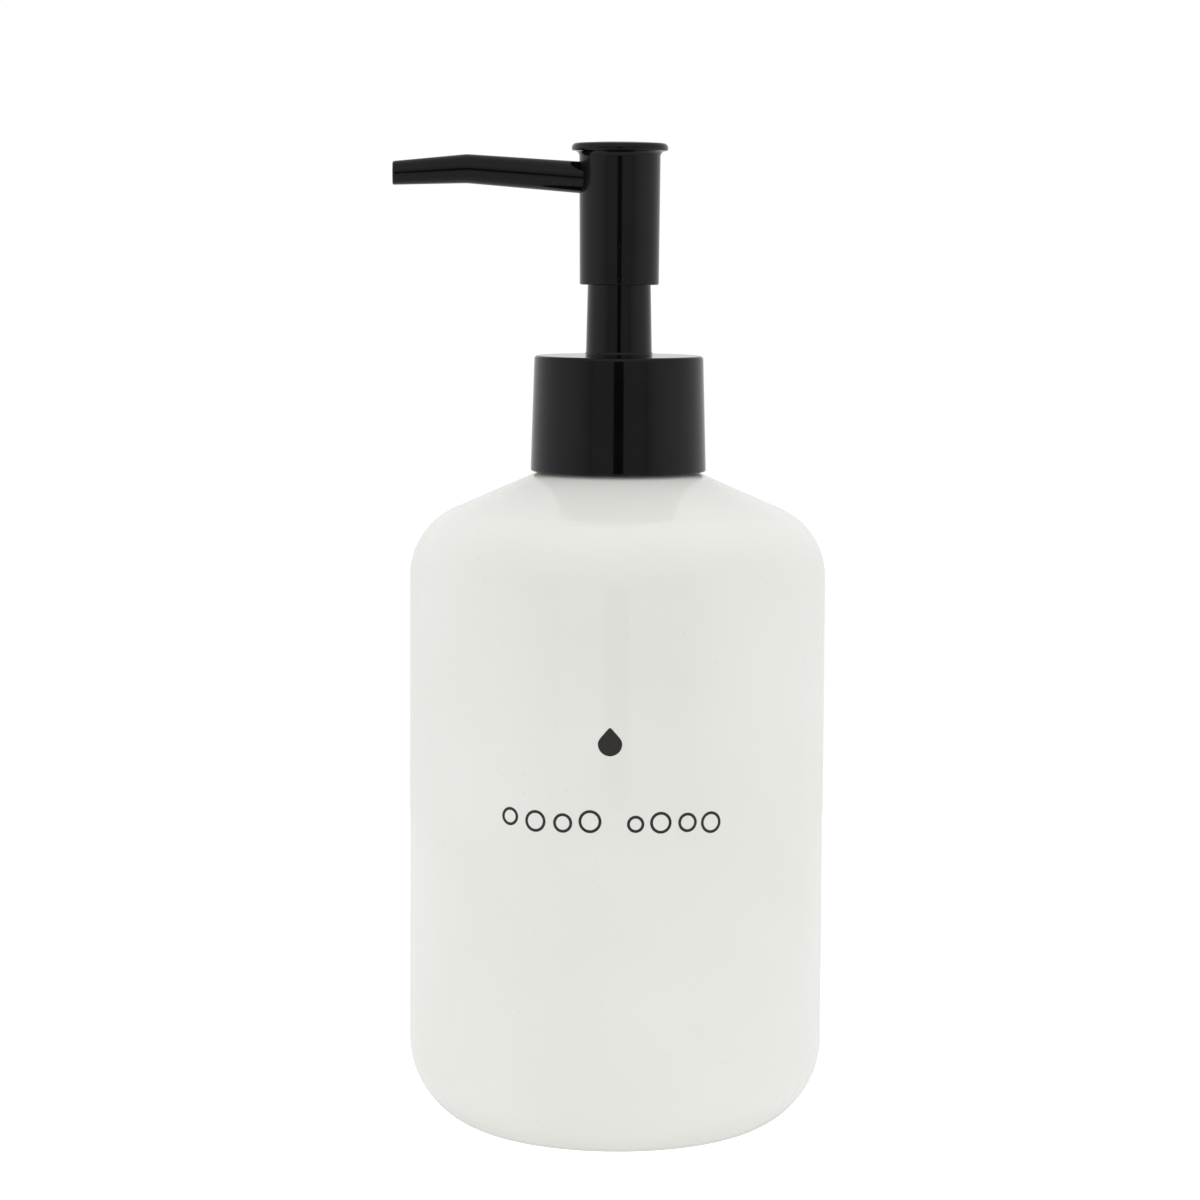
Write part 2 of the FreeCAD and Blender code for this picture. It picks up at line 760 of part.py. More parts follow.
def make_head():
    """The actuator: a skirt over the collar, a pressed button and a bent nozzle."""
    body = turned("head", [
        ("head_bore", "head_bottom"),
        ("head_skirt_radius", "head_bottom"),
        ("head_neck_radius", "head_shoulder"),
        ("button_radius", "head_shoulder"),
        ("button_radius", "head_shoulder + button_edge"),
        ("0", "head_top"),
        ("0", "nozzle_height"),
        ("channel_radius", "nozzle_height"),
        ("channel_radius", "stem_top"),
        ("stem_radius", "stem_top"),
        ("stem_radius", "post_bottom"),
        ("post_radius", "post_bottom"),
        ("post_radius", "head_ceiling"),
        ("head_bore", "head_ceiling"),
    ], dome_after=4)
    round_edges(body, "button_top_edge", [("button_radius", "head_shoulder + button_edge")],
                "button_round")
    round_edges(body, "button_cove", [("head_neck_radius", "head_shoulder")],
                "button_overhang - cove_flat")
    round_edges(body, "skirt_edge", [("head_skirt_radius", "head_bottom")],
                "skirt_edge_round")
    nozzle_run(body, "nozzle", "Additive", nozzle_stations(
        "head_neck_radius - nozzle_root_bite",
        "nozzle_root_radius", "nozzle_bend_radius", "nozzle_tip_radius"))
    tip = [f"Edge{index}" for index, edge in enumerate(body.Shape.Edges, start=1)
           if edge.BoundBox.XMax < 0.01 - value("nozzle_reach")]
    fillet_edges(body, "nozzle_tip_edge", tip, "nozzle_tip_round")
    before = body.Shape.Volume
    nozzle_run(body, "channel", "Subtractive", nozzle_stations(
        "0", "channel_radius", "(channel_radius + outlet_radius) / 2", "outlet_radius"))
    if body.Shape.Volume >= before:
        raise RuntimeError("the channel cut nothing")
    return body


MAKERS = [
    make_bottle, make_neck_ring, make_closure, make_gasket, make_housing, make_collar,
    make_stem_seal, make_ball_cage, make_dip_tube,
    lambda: make_ball("inlet_ball", "inlet_ball_radius", "inlet_ball_height"),
    make_spring, make_stem, make_piston, make_piston_seat,
    lambda: make_ball("outlet_ball", "outlet_ball_radius", "outlet_ball_height"),
    make_head,
]

sub_parts = [make() for make in MAKERS]
doc.recompute()

for item in doc.Objects:
    if "Invalid" in item.State or "Error" in item.State:
        raise RuntimeError(f"{item.Label} failed: {item.State}")
os.makedirs("parts", exist_ok=True)
for sub_part in sub_parts:
    shape = sub_part.Shape
    if shape.isNull() or not shape.isValid() or not shape.Solids:
        raise RuntimeError(f"{sub_part.Label} has no valid solid")
for sub_part in sub_parts:
    shape = sub_part.Shape
    shape.exportStep(f"parts/{sub_part.Label}.step")
    box = shape.BoundBox
    print(f"{sub_part.Label:12s} solids {len(shape.Solids)} volume {shape.Volume:10.1f} "
          f"z {box.ZMin:7.2f} to {box.ZMax:7.2f}  x {box.XMin:7.2f} to {box.XMax:7.2f}")
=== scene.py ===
# %% [markdown]
# # A soap pump dispenser
#
# The object is a white glazed bottle with a glossy black lotion pump screwed on its neck.
# Its sizes, joints and inner pieces are settled already, and they are loaded first as a
# fixed frame. The cells after that build the four pieces that show (bottle, closure,
# collar and pump head) and the printed marks, give every piece its finish, and light it.

# %% Load the frame
import json
import math

import bmesh
import bpy
from mathutils import Matrix, Vector


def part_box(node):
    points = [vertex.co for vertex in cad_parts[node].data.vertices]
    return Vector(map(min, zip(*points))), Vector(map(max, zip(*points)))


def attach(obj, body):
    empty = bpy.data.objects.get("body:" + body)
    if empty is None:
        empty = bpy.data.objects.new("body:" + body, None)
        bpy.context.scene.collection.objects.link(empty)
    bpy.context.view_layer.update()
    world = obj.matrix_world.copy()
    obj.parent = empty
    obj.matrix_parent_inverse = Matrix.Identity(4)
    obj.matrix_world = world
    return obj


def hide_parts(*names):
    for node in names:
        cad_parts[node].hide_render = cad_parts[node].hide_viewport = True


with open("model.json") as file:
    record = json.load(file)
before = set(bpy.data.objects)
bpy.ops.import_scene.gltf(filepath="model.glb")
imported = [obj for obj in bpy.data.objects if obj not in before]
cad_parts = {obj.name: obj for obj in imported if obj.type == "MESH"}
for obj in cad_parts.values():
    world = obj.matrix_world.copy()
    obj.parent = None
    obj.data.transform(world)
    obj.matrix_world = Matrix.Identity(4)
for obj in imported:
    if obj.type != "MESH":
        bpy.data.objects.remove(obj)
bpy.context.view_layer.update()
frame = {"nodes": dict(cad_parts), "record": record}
nodes = frame["nodes"]
MM = 0.001
print("nodes:", ", ".join(sorted(nodes)))

# %% [markdown]
# ## Where things are
#
# Every place comes from the frame: a node's box gives its lowest and highest corners.
# A round piece stands on the Z axis, so its radius is its box's half width. A faceted
# circle can miss its box by a hair on one side, so the smallest of the four is taken,
# which keeps each new piece inside the space of the one that it stands for.

# %% Read the places
def span(node):
    """(radius, lowest height, highest height) of a round node on the Z axis."""
    low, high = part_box(node)
    return min(-low.x, high.x, -low.y, high.y), low.z, high.z


def reach(node):
    """How far a node goes along -X from the axis."""
    return -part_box(node)[0].x


INK_THICKNESS = 0.03 * MM
BUTTON_INSET = 0.2 * MM
body_radius, _, rim_height = span("bottle")
body_radius -= INK_THICKNESS
closure_radius, closure_bottom, closure_top = span("closure")
_, collar_bottom, collar_top = span("collar")
_, head_bottom, head_top = span("head")
nozzle_reach = reach("head")
button_radius = min(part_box("head")[1].x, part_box("head")[1].y) - BUTTON_INSET
print("bottle radius", round(body_radius / MM, 2), "rim at", round(rim_height / MM, 2))
print("closure", [round(v / MM, 2) for v in (closure_radius, closure_bottom, closure_top)])
print("head", [round(v / MM, 2) for v in (button_radius, head_bottom, head_top)])

# %% [markdown]
# ## Drawing a profile with a pen
#
# A thrown pot, a moulded cap and a pump collar are all turned shapes: one outline, spun
# round an axis. The outline is drawn like a pen stroke. A straight stretch extrudes the
# last point, and an arc spins it about the arc's own centre, so curves are true arcs.
# A long stretch gets a few points on its way and one close to each end, because smooth
# shading blends the normals of neighbouring faces, and a tall face beside a small round
# one would look bent.

# %% The pen
STEP = 2.5 * MM
HOLD = 0.05 * MM
LONG = 1.0 * MM
CORNER_STEPS = 6
ROUND_STEPS = 144
SEAM = 1e-7
SHARP = math.radians(35)


class Pen:
    """Draws an outline in the XZ plane, as a chain of edges in a bmesh."""

    def __init__(self, radius, height):
        self.mesh = bmesh.new()
        self.tip = self.mesh.verts.new((radius, 0, height))

    def place(self, radius, height):
        """One straight edge to a point."""
        grown = bmesh.ops.extrude_vert_indiv(self.mesh, verts=[self.tip])
        self.tip = grown["verts"][0]
        self.tip.co = (radius, 0, height)

    def line(self, radius, height):
        """A straight stretch to a point, in even steps, with a short one at each end."""
        start = self.tip.co.copy()
        end = Vector((radius, 0, height))
        length = (end - start).length
        parts = max(1, math.ceil(length / STEP))
        shares = [part / parts for part in range(1, parts)]
        if length > LONG:
            shares = [HOLD / length, *shares, 1 - HOLD / length]
        for share in [*shares, 1]:
            point = start.lerp(end, share)
            self.place(point.x, point.z)

    def arc(self, centre_radius, centre_height, degrees, steps):
        """An arc about a centre. Positive turns from +Z towards +X."""
        swept = bmesh.ops.spin(
            self.mesh, geom=[self.tip], cent=(centre_radius, 0, centre_height),
            axis=(0, 1, 0), angle=math.radians(degrees), steps=steps)
        self.tip = [item for item in swept["geom_last"]
                    if isinstance(item, bmesh.types.BMVert)][0]

    def spin(self):
        """Turn the outline once round the Z axis and close its seam and poles."""
        bmesh.ops.spin(
            self.mesh, geom=self.mesh.verts[:] + self.mesh.edges[:], cent=(0, 0, 0),
            axis=(0, 0, 1), angle=math.tau, steps=ROUND_STEPS, use_merge=True)
        bmesh.ops.remove_doubles(self.mesh, verts=self.mesh.verts[:], dist=SEAM)
        bmesh.ops.dissolve_degenerate(self.mesh, edges=self.mesh.edges[:], dist=SEAM)
        bmesh.ops.recalc_face_normals(self.mesh, faces=self.mesh.faces[:])
        return self.mesh


def corner(pen, point, after, radius, steps=CORNER_STEPS):
    """Draw towards a corner, round it, and leave in the direction of the next point."""
    start = pen.tip.co.copy()
    at = Vector((point[0], 0, point[1]))
    beyond = Vector((after[0], 0, after[1]))
    arriving = (at - start).normalized()
    leaving = (beyond - at).normalized()
    turn = arriving.angle(leaving)
    back = radius * math.tan(turn / 2)
    first = at - arriving * back
    side = 1 if arriving.cross(leaving).y > 0 else -1
    across = Vector((arriving.z, 0, -arriving.x)) * side
    centre = first + across * radius
    pen.line(first.x, first.z)
    pen.arc(centre.x, centre.z, math.degrees(turn) * side, steps)


def finish_mesh(mesh, name):
    """Store a bmesh as an object, smooth except where faces meet at a sharp angle."""
    data = bpy.data.meshes.new(name)
    mesh.to_mesh(data)
    mesh.free()
    data.shade_smooth()
    data.set_sharp_from_angle(angle=SHARP)
    piece = bpy.data.objects.new(name, data)
    bpy.context.scene.collection.objects.link(piece)
    print(f"{name}: {len(data.vertices)} points, {len(data.polygons)} faces")
    return piece


def turned(name, start, stops):
    """A turned piece. A stop is (radius, height) or (radius, height, rounding)."""
    pen = Pen(*start)
    points = [stop[:2] for stop in stops]
    for index, stop in enumerate(stops):
        rounding = stop[2] if len(stop) > 2 else 0
        if rounding:
            steps = max(4, round(rounding / MM) * 2)
            corner(pen, stop[:2], points[index + 1], rounding, steps)
        else:
            pen.line(*stop[:2])
    return finish_mesh(pen.spin(), name)


print("the pen turns a piece in", ROUND_STEPS, "steps")

# %% [markdown]
# ## The bottle
#
# The real bottle is slip-cast: a straight side, a base that rolls under to a narrow foot
# ring, and a shoulder that slopes up to a plain neck. The outline goes from the middle
# of the underside, round the outside, over the rim and back down the inside, so the
# piece is one closed wall, as the real one is.

# %% Make the bottle
WALL = 4.0 * MM
BASE_ROUND = 16.5 * MM
SHOULDER_ROUND = 13.3 * MM
SHOULDER_SLOPE = math.radians(23.7)
SHOULDER_CORNER = 109.23 * MM
FOOT_RING = 16.5 * MM
FOOT_RECESS = 1.2 * MM
FOOT_BEVEL = 1.6 * MM
FOOT_BEVEL_ROUND = 0.8 * MM
FOOT_ROUND = 0.4 * MM
FLOOR = 6.2 * MM
NECK_RADIUS = 11.4 * MM
NECK_BORE = 8.6 * MM
LAND = 2.5 * MM
LAND_ROUND = 0.5 * MM
LIP = 0.6 * MM


def shoulder_height(radius):
    """Height of the sloping shoulder at a radius."""
    return SHOULDER_CORNER + (body_radius - radius) * math.tan(SHOULDER_SLOPE)


def inner_shoulder_height(radius):
    """Height of the inside of the shoulder, one wall in from the outside."""
    return shoulder_height(radius) - WALL / math.cos(SHOULDER_SLOPE)


land_radius = NECK_RADIUS + LAND
land_height = shoulder_height(land_radius)
cavity = body_radius - WALL
bottle = turned("ceramic_bottle", (0, FOOT_RECESS), [
    (FOOT_RING - FOOT_BEVEL, FOOT_RECESS, FOOT_BEVEL_ROUND),
    (FOOT_RING, 0, FOOT_ROUND),
    (body_radius, 0, BASE_ROUND),
    (body_radius, SHOULDER_CORNER, SHOULDER_ROUND),
    (land_radius, land_height, LAND_ROUND),
    (NECK_RADIUS, land_height),
    (NECK_RADIUS, rim_height, LIP),
    (NECK_BORE, rim_height, LIP),
    (NECK_BORE, inner_shoulder_height(NECK_BORE)),
    (cavity, inner_shoulder_height(cavity), SHOULDER_ROUND - WALL),
    (cavity, FLOOR, BASE_ROUND - WALL),
    (0, FLOOR),
])
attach(bottle, "bottle_body")
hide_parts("bottle")

# %% [markdown]
# ## The closure
#
# The screw cap is moulded with a little draft: it is narrower at the top. Inside it has
# one turn of thread. The thread is a small outline spun about the axis while it climbs,
# which the spin operator does when it is given a step along the axis.

# %% Make the closure
CAP_BORE = 14.1 * MM
CAP_TOP_RADIUS = 15.2 * MM
CAP_TOP_THICKNESS = 1.6 * MM
CAP_HOLE = 6.13 * MM
CAP_EDGE = 0.6 * MM
CAP_HOLE_EDGE = 0.25 * MM
CAP_INNER_EDGE = 0.4 * MM
CAP_RIM_ROUND = 0.3 * MM
LEAD_IN = 0.9 * MM
LEAD_IN_WIDTH = 0.8 * MM
LEAD_IN_ROUND = 0.15 * MM
THREAD_PITCH = 4.23 * MM
THREAD_TURNS = 1.2
THREAD_CREST = 12.95 * MM
THREAD_ROOT_WIDTH = 2.0 * MM
THREAD_CREST_WIDTH = 1.1 * MM
THREAD_BITE = 0.1 * MM
THREAD_BELOW_RIM = 10.1 * MM
ceiling = closure_top - CAP_TOP_THICKNESS

closure = turned("screw_closure", (CAP_HOLE, ceiling), [
    (CAP_BORE, ceiling, CAP_INNER_EDGE),
    (CAP_BORE, closure_bottom + LEAD_IN),
    (CAP_BORE + LEAD_IN_WIDTH, closure_bottom, LEAD_IN_ROUND),
    (closure_radius, closure_bottom, CAP_RIM_ROUND),
    (CAP_TOP_RADIUS, closure_top, CAP_EDGE),
    (CAP_HOLE, closure_top, CAP_HOLE_EDGE),
    (CAP_HOLE, ceiling),
])


def add_thread(piece, root, height):
    """Add a right-handed ridge inside a piece, from its root to the thread's crest."""
    mesh = bmesh.new()
    outline = [
        (root, height - THREAD_ROOT_WIDTH / 2), (THREAD_CREST, height - THREAD_CREST_WIDTH / 2),
        (THREAD_CREST, height + THREAD_CREST_WIDTH / 2), (root, height + THREAD_ROOT_WIDTH / 2),
    ]
    face = mesh.faces.new([mesh.verts.new((x, 0, z)) for x, z in outline])
    steps = round(ROUND_STEPS / 2 * THREAD_TURNS)
    climb = THREAD_PITCH * THREAD_TURNS / steps
    bmesh.ops.spin(
        mesh, geom=[face], cent=(0, 0, 0), axis=(0, 0, 1), dvec=(0, 0, climb),
        angle=math.tau * THREAD_TURNS, steps=steps, use_duplicate=False)
    bmesh.ops.recalc_face_normals(mesh, faces=mesh.faces[:])
    ridge = bpy.data.meshes.new("ridge")
    mesh.to_mesh(ridge)
    mesh.free()
    joined = bmesh.new()
    joined.from_mesh(piece.data)
    joined.from_mesh(ridge)
    joined.to_mesh(piece.data)
    joined.free()
    bpy.data.meshes.remove(ridge)
    print(f"{piece.name}: thread added, {len(piece.data.polygons)} faces in all")


add_thread(closure, CAP_BORE + THREAD_BITE, rim_height - THREAD_BELOW_RIM)
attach(closure, "closure_body")
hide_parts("closure")

# %% [markdown]
# ## The collar
#
# The collar stands through the hole in the closure and guides the stem. Only its
# tapered barrel shows, with a small bead that stands just above the closure. The flange
# under the closure and the sleeve in the pump's cylinder are drawn too, so that the piece
# is whole when the pump is taken apart.

# %% Make the collar
COLLAR_BORE = 4.4 * MM
COLLAR_BASE = 5.93 * MM
COLLAR_TIP = 5.57 * MM
SLEEVE = 5.85 * MM
FLANGE = 9.4 * MM
FLANGE_THICKNESS = 1.4 * MM
TURNING_GAP = 0.1 * MM
COLLAR_EDGE = 0.2 * MM
COLLAR_TIP_ROUND = 0.4 * MM
GUIDE = 3.2 * MM
BEAD = 0.25 * MM
BEAD_HEIGHT = 0.36 * MM
BEAD_GAP = 0.3 * MM
flange_top = ceiling - TURNING_GAP
flange_bottom = flange_top - FLANGE_THICKNESS
seal_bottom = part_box("stem_seal")[0].z
bead_bottom = closure_top + BEAD_GAP

collar = turned("pump_collar", (COLLAR_BORE, collar_bottom), [
    (SLEEVE, collar_bottom, COLLAR_EDGE),
    (SLEEVE, flange_bottom),
    (FLANGE, flange_bottom, COLLAR_EDGE),
    (FLANGE, flange_top, COLLAR_EDGE),
    (COLLAR_BASE, flange_top),
    (COLLAR_BASE, bead_bottom),
    (COLLAR_BASE + BEAD, bead_bottom),
    (COLLAR_BASE, bead_bottom + BEAD_HEIGHT),
    (COLLAR_TIP, collar_top, COLLAR_TIP_ROUND),
    (COLLAR_BORE, collar_top, COLLAR_EDGE),
    (COLLAR_BORE, seal_bottom),
    (GUIDE, seal_bottom),
    (GUIDE, flange_top),
    (COLLAR_BORE, flange_top),
    (COLLAR_BORE, collar_bottom),
])
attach(collar, "pump_body")
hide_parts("collar")

# %% [markdown]
# ## The pump head
#
# The head is one moulding: a skirt that slides down over the collar, a round button with
# a coved underside, and a long nozzle. The skirt and button are turned. The nozzle is a
# ring that is extruded and scaled station by station, with a hole at its end, and the
# two are joined with a boolean, so that the head is one closed shell with a crisp line
# where the nozzle leaves it.

# %% Turn the skirt and button
HEAD_BORE = 6.25 * MM
SKIRT = 7.12 * MM
HEAD_NECK = 7.29 * MM
BUTTON_EDGE = 1.4 * MM
BUTTON_DOME = 0.35 * MM
BUTTON_ROUND = 0.9 * MM
COVE = 1.0 * MM
BUTTON_UNDER = 0.35 * MM
DOME_STEPS = 10
CURVE_STEPS = 14
SKIRT_ROUND = 0.25 * MM
POST = 4.0 * MM
STEM_HOLE = 3.0 * MM
CHANNEL = 0.9 * MM
BORE_BELOW_TOP = 8.4 * MM
POST_INSET = 2.2 * MM
NOZZLE_ABOVE_BORE = 1.4 * MM
button_bottom = head_top - BUTTON_DOME - BUTTON_EDGE
head_ceiling = head_top - BORE_BELOW_TOP
post_bottom = head_bottom + POST_INSET
stem_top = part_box("stem")[1].z
nozzle_height = head_ceiling + NOZZLE_ABOVE_BORE


def draw_outside(pen):
    """The skirt, the coved button and its slightly domed top, as far as the axis."""
    edge_top = button_bottom + BUTTON_EDGE
    corner(pen, (SKIRT, head_bottom), (HEAD_NECK, button_bottom), SKIRT_ROUND)
    corner(pen, (HEAD_NECK, button_bottom), (button_radius, button_bottom), COVE, CURVE_STEPS)
    corner(pen, (button_radius, button_bottom), (button_radius, head_top), BUTTON_UNDER, 8)
    corner(pen, (button_radius, edge_top), (0, head_top), BUTTON_ROUND, CURVE_STEPS)
    start = pen.tip.co.copy()
    for step in range(1, DOME_STEPS + 1):
        share = step / DOME_STEPS
        rise = (head_top - start.z) * math.sin(share * math.pi / 2)
        pen.place(start.x * (1 - share), start.z + rise)


def draw_inside(pen):
    """The skirt's bore, the post that holds the stem, and the channel to the nozzle."""
    pen.line(HEAD_BORE, head_ceiling)
    pen.line(POST, head_ceiling)
    pen.line(POST, post_bottom)
    pen.line(STEM_HOLE, post_bottom)
    pen.line(STEM_HOLE, stem_top)
    pen.line(CHANNEL, stem_top)
    pen.line(CHANNEL, nozzle_height)
    pen.line(0, nozzle_height)


def turn_head():
    """The skirt and button as one closed shell, hollow as the real one is."""
    pen = Pen(HEAD_BORE, head_bottom)
    foot = pen.tip
    draw_outside(pen)
    pen.tip = foot
    draw_inside(pen)
    return finish_mesh(pen.spin(), "pump_head")


head = turn_head()

# %% Add the nozzle
NOZZLE_ROOT = 2.84 * MM
NOZZLE_BEND = 2.6 * MM
NOZZLE_TIP = 2.12 * MM
NOZZLE_TIP_ROUND = 0.35 * MM
OUTLET = 0.85 * MM
OUTLET_DEPTH = 14.0 * MM
BEND_REACH = 27.4 * MM
BEND_RISE = 1.94 * MM
TIP_RISE = 1.10 * MM
BEND_SOFTNESS = 0.02 * MM
NOZZLE_STEPS = 60
NOZZLE_SIDES = 64
NOZZLE_INSET = 0.8 * MM
OUTLET_ROUND = 0.12 * MM


def nozzle_at(distance):
    """(rise, radius) of the nozzle at a distance from the axis."""
    beyond = (distance - BEND_REACH) / (nozzle_reach - BEND_REACH)
    climbing = BEND_RISE * distance / BEND_REACH
    falling = BEND_RISE - (BEND_RISE - TIP_RISE) * beyond
    half = (climbing - falling) / 2
    rise = (climbing + falling) / 2 - math.hypot(half, BEND_SOFTNESS)
    if distance < BEND_REACH:
        along = (distance - SKIRT) / (BEND_REACH - SKIRT)
        radius = NOZZLE_ROOT + (NOZZLE_BEND - NOZZLE_ROOT) * along
    else:
        radius = NOZZLE_BEND + (NOZZLE_TIP - NOZZLE_BEND) * beyond
    return rise, radius


def make_nozzle(start):
    """The nozzle as a closed shell with a blind hole at its tip."""
    mesh = bmesh.new()
    rise, radius = nozzle_at(start)
    upright = Matrix.Rotation(math.radians(90), 4, "Y")
    at = Matrix.Translation((-start, 0, nozzle_height + rise))
    made = bmesh.ops.create_circle(
        mesh, cap_ends=True, segments=NOZZLE_SIDES, radius=radius, matrix=at @ upright)
    ring = list({edge for vert in made["verts"] for edge in vert.link_edges})

    def next_ring(edges, x, z, size, old):
        """Extrude a ring of edges to a new place and size."""
        grown = bmesh.ops.extrude_edge_only(mesh, edges=edges)["geom"]
        verts = [item for item in grown if isinstance(item, bmesh.types.BMVert)]
        centre = sum((vert.co for vert in verts), Vector()) / len(verts)
        bmesh.ops.scale(mesh, verts=verts, vec=(1, size / old, size / old),
                        space=Matrix.Translation(-centre))
        bmesh.ops.translate(mesh, verts=verts, vec=Vector((x, 0, z)) - centre)
        return [item for item in grown if isinstance(item, bmesh.types.BMEdge)]

    stations = [start + (nozzle_reach - start) * step / NOZZLE_STEPS
                for step in range(1, NOZZLE_STEPS + 1)]
    old = radius
    for distance in stations:
        rise, radius = nozzle_at(distance)
        ring = next_ring(ring, -distance, nozzle_height + rise, radius, old)
        old = radius
    rim = list(ring)
    tip_height = nozzle_height + rise
    ring = next_ring(ring, -nozzle_reach, tip_height, OUTLET, old)
    mouth = list(ring)
    ring = next_ring(ring, OUTLET_DEPTH - nozzle_reach, tip_height, OUTLET, OUTLET)
    bmesh.ops.edgeloop_fill(mesh, edges=ring)
    bmesh.ops.bevel(mesh, geom=rim, affect="EDGES", offset=NOZZLE_TIP_ROUND, segments=5,
                    profile=0.5, material=-1)
    bmesh.ops.bevel(mesh, geom=[edge for edge in mouth if edge.is_valid], affect="EDGES",
                    offset=OUTLET_ROUND, segments=3, profile=0.5, material=-1)
    bmesh.ops.recalc_face_normals(mesh, faces=mesh.faces[:])
    return finish_mesh(mesh, "nozzle_form")


def unite(piece, other):
    """Join another closed shell to a piece with a boolean, and keep the result."""
    joint = piece.modifiers.new("join", "BOOLEAN")
    joint.operation = "UNION"
    joint.solver = "EXACT"
    joint.object = other
    graph = bpy.context.evaluated_depsgraph_get()
    data = bpy.data.meshes.new_from_object(piece.evaluated_get(graph))
    piece.modifiers.clear()
    old = piece.data
    piece.data = data
    data.name = piece.name
    bpy.data.meshes.remove(old)
    bpy.data.meshes.remove(other.data)
    data.shade_smooth()
    data.set_sharp_from_angle(angle=SHARP)
    print(f"{piece.name}: {len(data.polygons)} faces after joining")


unite(head, make_nozzle(HEAD_NECK - NOZZLE_INSET))
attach(head, "plunger")
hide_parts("head")

# %% [markdown]
# ## The printed marks
#
# The front carries a small mark, screen-printed in dark ink: a plain drop over two short
# rows of soap bubbles. They are drawn flat and cut into narrow strips. Then they get the
# thickness of the ink and are wrapped round the bottle, half sunk in its glaze.

# %% Print the marks
PRINT_SIDE = math.radians(-5.75)
DROP_HEIGHT = 74.8 * MM
DROP_RADIUS = 2.1 * MM
DROP_TIP = 2.8 * MM
DROP_PINCH = 0.55
DROP_PINCH_POWER = 2.2
DROP_PULL_POWER = 3.2
BUBBLE_HEIGHT = 61.0 * MM
BUBBLE_LINE = 0.5 * MM
FIRST_ROW = [(-18.1, 0.5, 1.6), (-13.2, 0.0, 1.9), (-8.2, -0.1, 1.7), (-3.4, 0.3, 2.0)]
SECOND_ROW = [(4.5, -0.1, 1.5), (8.9, 0.1, 1.9), (13.7, 0.0, 1.7), (18.1, -0.2, 1.9)]
WRAP_CUT = 0.5 * MM


def draw_drop(mesh):
    """A drop: a round disc whose top is pulled out to a point."""
    made = bmesh.ops.create_circle(mesh, cap_ends=True, segments=64, radius=DROP_RADIUS)
    for vert in made["verts"]:
        lift = max(0.0, vert.co.y / DROP_RADIUS)
        vert.co.x *= 1 - DROP_PINCH * lift ** DROP_PINCH_POWER
        vert.co.y += (DROP_TIP - DROP_RADIUS) * lift ** DROP_PULL_POWER
    bmesh.ops.translate(mesh, verts=made["verts"], vec=(0, DROP_HEIGHT, 0))


def flat_ring(mesh, centre, radius):
    """A ring: a disc inset by the width of its line, with the middle taken out."""
    made = bmesh.ops.create_circle(mesh, cap_ends=True, segments=48, radius=radius)
    disc = list({face for vert in made["verts"] for face in vert.link_faces})
    bmesh.ops.translate(mesh, verts=made["verts"], vec=(centre[0], centre[1], 0))
    bmesh.ops.inset_region(mesh, faces=disc, thickness=BUBBLE_LINE, use_boundary=True,
                           use_even_offset=True)
    bmesh.ops.delete(mesh, geom=disc, context="FACES")


def slice_upright(mesh):
    """Cut a flat drawing into narrow upright strips, so that it can bend."""
    low = min(vert.co.x for vert in mesh.verts)
    high = max(vert.co.x for vert in mesh.verts)
    for cut in range(1, math.floor((high - low) / WRAP_CUT)):
        geometry = mesh.verts[:] + mesh.edges[:] + mesh.faces[:]
        bmesh.ops.bisect_plane(mesh, geom=geometry, dist=SEAM,
                               plane_co=(low + cut * WRAP_CUT, 0, 0), plane_no=(1, 0, 0))


def face_up(mesh):
    """Turn the faces of a flat drawing so that they all look up."""
    bmesh.ops.recalc_face_normals(mesh, faces=mesh.faces[:])
    for face in mesh.faces:
        if face.normal.z < 0:
            face.normal_flip()


def wrap(mesh):
    """Bend a drawing round the bottle. x is the way round, y the height, z the layer."""
    for vert in mesh.verts:
        radius = body_radius + (vert.co.z - 0.5) * INK_THICKNESS
        angle = PRINT_SIDE + vert.co.x / body_radius
        vert.co = (radius * math.sin(angle), -radius * math.cos(angle), vert.co.y)


def printed(name, draw):
    """A printed mark on the bottle, drawn flat by a function, thickened and wrapped."""
    mesh = bmesh.new()
    draw(mesh)
    slice_upright(mesh)
    face_up(mesh)
    grown = bmesh.ops.extrude_face_region(mesh, geom=mesh.faces[:], use_keep_orig=True)
    raised = [item for item in grown["geom"] if isinstance(item, bmesh.types.BMVert)]
    bmesh.ops.translate(mesh, verts=raised, vec=(0, 0, 1))
    wrap(mesh)
    bmesh.ops.recalc_face_normals(mesh, faces=mesh.faces[:])
    mark = finish_mesh(mesh, name)
    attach(mark, "bottle_body")
    return mark


def draw_bubbles(row):
    """A function that draws a row of rings. A ring is (across, up, radius) in millimetres."""
    def draw(mesh):
        for across, up, radius in row:
            flat_ring(mesh, (across * MM, BUBBLE_HEIGHT + up * MM), radius * MM)
    return draw


marks = [
    printed("printed_drop", draw_drop),
    printed("printed_bubbles_left", draw_bubbles(FIRST_ROW)),
    printed("printed_bubbles_right", draw_bubbles(SECOND_ROW)),
]

# %% [markdown]
# ## Finishes
#
# Each finish is a small node tree. A helper makes the tree with its shader, and adds the
# noise that every real surface has: a little variation in colour, in gloss and in level.

# %% Helpers for finishes
def new_finish(name, gloss_index=1.5):
    """A new material: (material, its tree, its shader, its coordinates)."""
    material = bpy.data.materials.new(name)
    material.use_nodes = True
    tree = material.node_tree
    shader = tree.nodes["Principled BSDF"]
    shader.inputs["IOR"].default_value = gloss_index
    place = tree.nodes.new("ShaderNodeTexCoord")
    return material, tree, shader, place


def noise(tree, place, scale, detail):
    """A noise pattern on object coordinates, scale in features per metre."""
    node = tree.nodes.new("ShaderNodeTexNoise")
    node.inputs["Scale"].default_value = scale
    node.inputs["Detail"].default_value = detail
    tree.links.new(place.outputs["Object"], node.inputs["Vector"])
    return node.outputs["Fac"]


